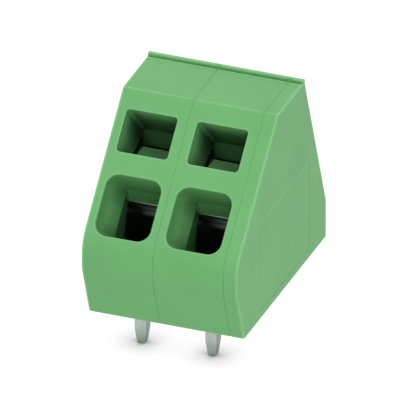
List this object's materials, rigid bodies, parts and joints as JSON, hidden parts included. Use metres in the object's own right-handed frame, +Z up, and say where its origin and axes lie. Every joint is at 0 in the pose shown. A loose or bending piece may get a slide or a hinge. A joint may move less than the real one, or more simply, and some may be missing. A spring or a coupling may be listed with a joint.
{
  "type": "pcb terminal block",
  "caption": "Spring-clamp terminal block for a circuit board: moulded pole housings side by side, an end cover, wire funnels and screwdriver openings in a sloping face, and solder pins.",
  "frame": {"origin": "centre of the first pole's solder pin, on the surface of the board that the block stands on", "axes": "+Z up from the board, +X along the row of poles, towards the end cover, and -Y towards the side where the wires go in"},
  "size_m": [0.011, 0.0166, 0.0174],
  "materials": {
    "green_plastic": "satin moulded polyamide, self-coloured light green",
    "tinned_copper": "matt tin plating on stamped copper strip",
    "spring_steel": "bright rolled stainless spring strip"
  },
  "bodies": {
    "root": {"pole_housing_1": "green_plastic", "pole_housing_2": "green_plastic", "end_cover": "green_plastic", "current_bar_1": "tinned_copper", "current_bar_2": "tinned_copper", "cage_spring_1": "spring_steel", "cage_spring_2": "spring_steel"}
  },
  "joints": []
}
